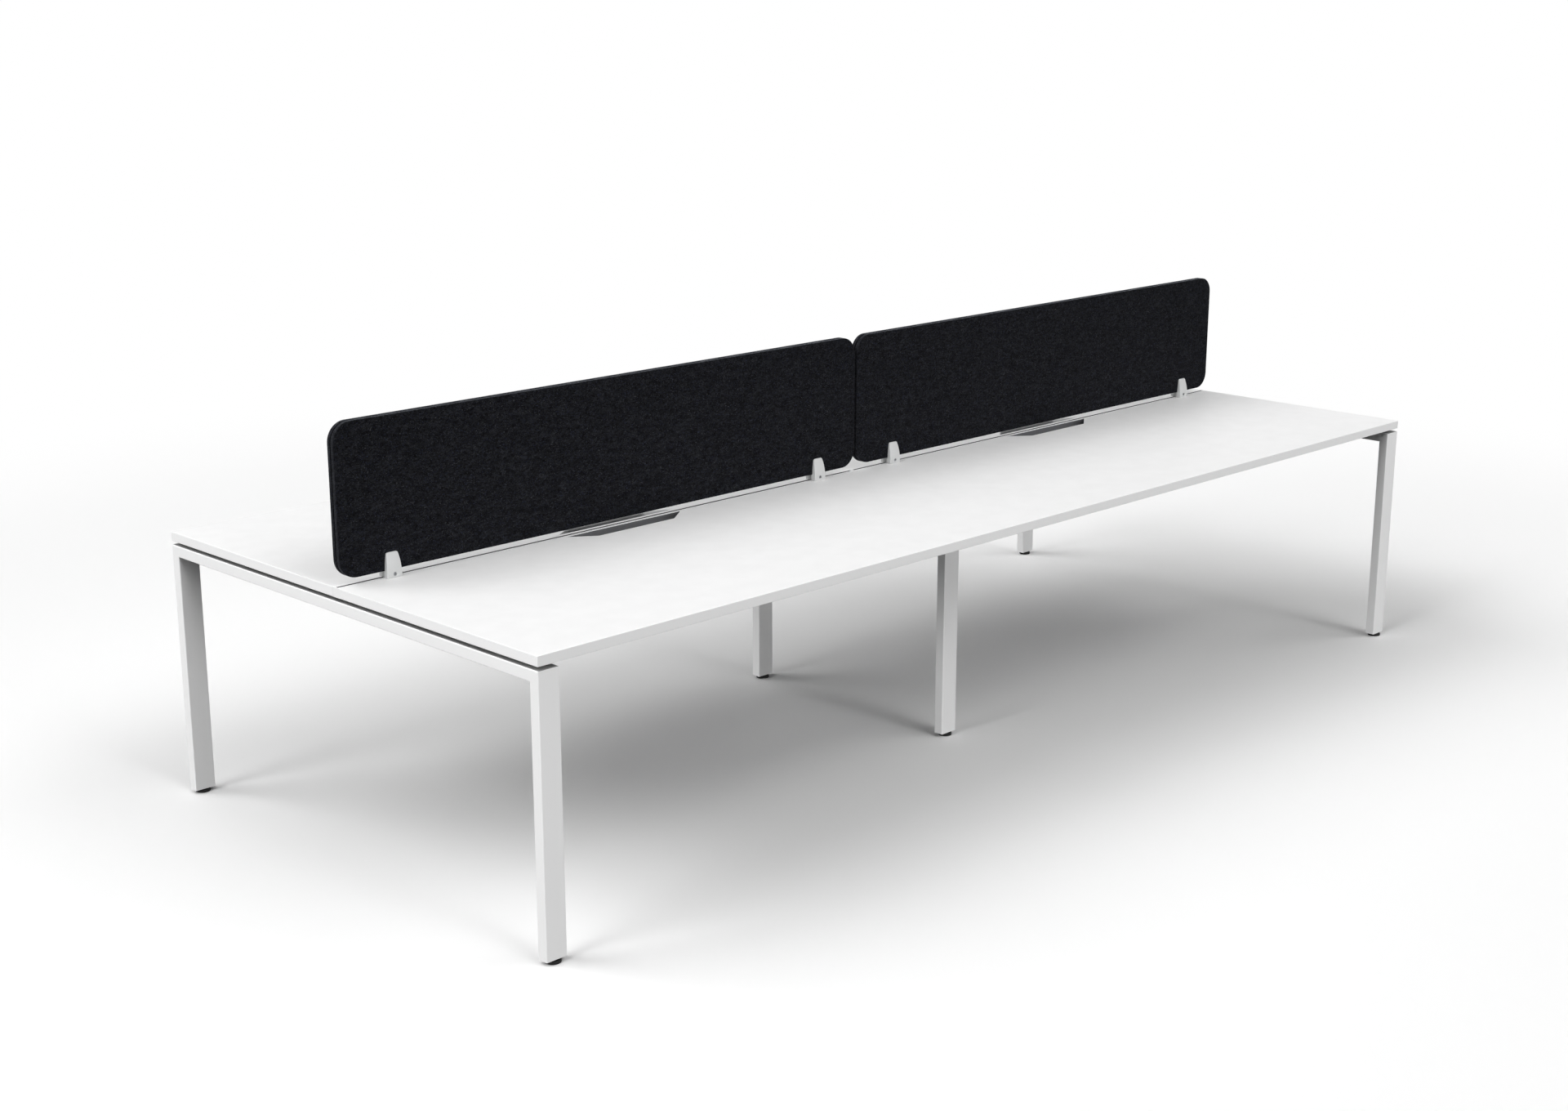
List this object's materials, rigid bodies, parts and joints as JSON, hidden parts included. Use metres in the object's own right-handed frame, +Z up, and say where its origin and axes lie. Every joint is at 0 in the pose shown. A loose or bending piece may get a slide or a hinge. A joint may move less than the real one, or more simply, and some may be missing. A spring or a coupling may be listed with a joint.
{
  "type": "back-to-back workstation",
  "caption": "Long shared office desk: floating white desktops on goalpost frames, back to back either side of a slotted rail that carries clamped felt screens over cable cut-outs.",
  "frame": {"origin": "on the floor, under the middle of the workstation's length and depth", "axes": "+X along the workstation's length, to the right as seen from the front; +Y from the front to the back, across the screens; +Z up"},
  "size_m": [3.6, 1.54, 1.13],
  "materials": {
    "white_melamine": "chipboard faced and edged in satin white melamine",
    "white_powder_coat": "steel tube, fine satin white powder coat",
    "white_coated_aluminium": "extruded aluminium with a satin white coat",
    "charcoal_felt": "pressed charcoal felt board with lighter mottled fibres",
    "black_core_board": "black board, set back between the felt panels",
    "light_grey_alloy": "die-cast alloy with a satin light grey coat",
    "zinc_screw_steel": "zinc-plated steel",
    "black_plastic": "black moulded plastic",
    "white_plastic": "white moulded plastic"
  },
  "bodies": {
    "workstation": {"post_front_left": "white_powder_coat", "post_back_left": "white_powder_coat", "crossbar_left": "white_powder_coat", "post_front_middle": "white_powder_coat", "post_back_middle": "white_powder_coat", "crossbar_middle": "white_powder_coat", "post_front_right": "white_powder_coat", "post_back_right": "white_powder_coat", "crossbar_right": "white_powder_coat", "beam_front_left": "white_powder_coat", "beam_back_left": "white_powder_coat", "beam_front_right": "white_powder_coat", "beam_back_right": "white_powder_coat", "foot_insert_front_left": "black_plastic", "foot_insert_back_left": "black_plastic", "foot_insert_front_middle": "black_plastic", "foot_insert_back_middle": "black_plastic", "foot_insert_front_right": "black_plastic", "foot_insert_back_right": "black_plastic", "top_spacer_front_left": "black_plastic", "top_spacer_back_left": "black_plastic", "top_spacer_front_middle": "black_plastic", "top_spacer_back_middle": "black_plastic", "top_spacer_front_right": "black_plastic", "top_spacer_back_right": "black_plastic", "desktop_front_left": "white_melamine", "desktop_back_left": "white_melamine", "desktop_front_right": "white_melamine", "desktop_back_right": "white_melamine", "centre_rail_left": "white_coated_aluminium", "centre_rail_right": "white_coated_aluminium", "rail_end_cap_left": "white_plastic", "rail_end_cap_right": "white_plastic", "rail_joint_cap": "white_plastic", "screen_left_front_panel": "charcoal_felt", "screen_left_back_panel": "charcoal_felt", "screen_left_core": "black_core_board", "screen_right_front_panel": "charcoal_felt", "screen_right_back_panel": "charcoal_felt", "screen_right_core": "black_core_board", "clamp_body_left_outer": "light_grey_alloy", "clamp_body_left_inner": "light_grey_alloy", "clamp_body_right_inner": "light_grey_alloy", "clamp_body_right_outer": "light_grey_alloy"},
    "foot_front_left": {"levelling_foot_front_left": "black_plastic"},
    "foot_back_left": {"levelling_foot_back_left": "black_plastic"},
    "foot_front_middle": {"levelling_foot_front_middle": "black_plastic"},
    "foot_back_middle": {"levelling_foot_back_middle": "black_plastic"},
    "foot_front_right": {"levelling_foot_front_right": "black_plastic"},
    "foot_back_right": {"levelling_foot_back_right": "black_plastic"},
    "jaw_left_outer": {"clamp_jaw_left_outer": "light_grey_alloy"},
    "jaw_left_inner": {"clamp_jaw_left_inner": "light_grey_alloy"},
    "jaw_right_inner": {"clamp_jaw_right_inner": "light_grey_alloy"},
    "jaw_right_outer": {"clamp_jaw_right_outer": "light_grey_alloy"},
    "screw_left_outer": {"clamp_screw_left_outer": "zinc_screw_steel"},
    "screw_left_inner": {"clamp_screw_left_inner": "zinc_screw_steel"},
    "screw_right_inner": {"clamp_screw_right_inner": "zinc_screw_steel"},
    "screw_right_outer": {"clamp_screw_right_outer": "zinc_screw_steel"}
  },
  "joints": [
    {"name": "foot_front_left_height", "type": "slide", "parent": "workstation", "child": "foot_front_left", "axis": [0, 0, -1], "range_m": [-0.0015, 0.015]},
    {"name": "foot_back_left_height", "type": "slide", "parent": "workstation", "child": "foot_back_left", "axis": [0, 0, -1], "range_m": [-0.0015, 0.015]},
    {"name": "foot_front_middle_height", "type": "slide", "parent": "workstation", "child": "foot_front_middle", "axis": [0, 0, -1], "range_m": [-0.0015, 0.015]},
    {"name": "foot_back_middle_height", "type": "slide", "parent": "workstation", "child": "foot_back_middle", "axis": [0, 0, -1], "range_m": [-0.0015, 0.015]},
    {"name": "foot_front_right_height", "type": "slide", "parent": "workstation", "child": "foot_front_right", "axis": [0, 0, -1], "range_m": [-0.0015, 0.015]},
    {"name": "foot_back_right_height", "type": "slide", "parent": "workstation", "child": "foot_back_right", "axis": [0, 0, -1], "range_m": [-0.0015, 0.015]},
    {"name": "jaw_left_outer_release", "type": "slide", "parent": "workstation", "child": "jaw_left_outer", "axis": [0, -1, 0], "range_m": [0, 0.004]},
    {"name": "jaw_left_inner_release", "type": "slide", "parent": "workstation", "child": "jaw_left_inner", "axis": [0, -1, 0], "range_m": [0, 0.004]},
    {"name": "jaw_right_inner_release", "type": "slide", "parent": "workstation", "child": "jaw_right_inner", "axis": [0, -1, 0], "range_m": [0, 0.004]},
    {"name": "jaw_right_outer_release", "type": "slide", "parent": "workstation", "child": "jaw_right_outer", "axis": [0, -1, 0], "range_m": [0, 0.004]},
    {"name": "screw_left_outer_turn", "type": "hinge", "parent": "jaw_left_outer", "child": "screw_left_outer", "pos_m": [-1.6465, -0.02, 0.7393], "axis": [0, -1, 0], "range_deg": [0, 1440]},
    {"name": "screw_left_inner_turn", "type": "hinge", "parent": "jaw_left_inner", "child": "screw_left_inner", "pos_m": [-0.1615, -0.02, 0.7393], "axis": [0, -1, 0], "range_deg": [0, 1440]},
    {"name": "screw_right_inner_turn", "type": "hinge", "parent": "jaw_right_inner", "child": "screw_right_inner", "pos_m": [0.1615, -0.02, 0.7393], "axis": [0, -1, 0], "range_deg": [0, 1440]},
    {"name": "screw_right_outer_turn", "type": "hinge", "parent": "jaw_right_outer", "child": "screw_right_outer", "pos_m": [1.6465, -0.02, 0.7393], "axis": [0, -1, 0], "range_deg": [0, 1440]}
  ],
  "couplings": [
    {"joint": "screw_left_outer_turn", "follows": "jaw_left_outer_release", "rad_per_m": 6283.2},
    {"joint": "screw_left_inner_turn", "follows": "jaw_left_inner_release", "rad_per_m": 6283.2},
    {"joint": "screw_right_inner_turn", "follows": "jaw_right_inner_release", "rad_per_m": 6283.2},
    {"joint": "screw_right_outer_turn", "follows": "jaw_right_outer_release", "rad_per_m": 6283.2}
  ]
}
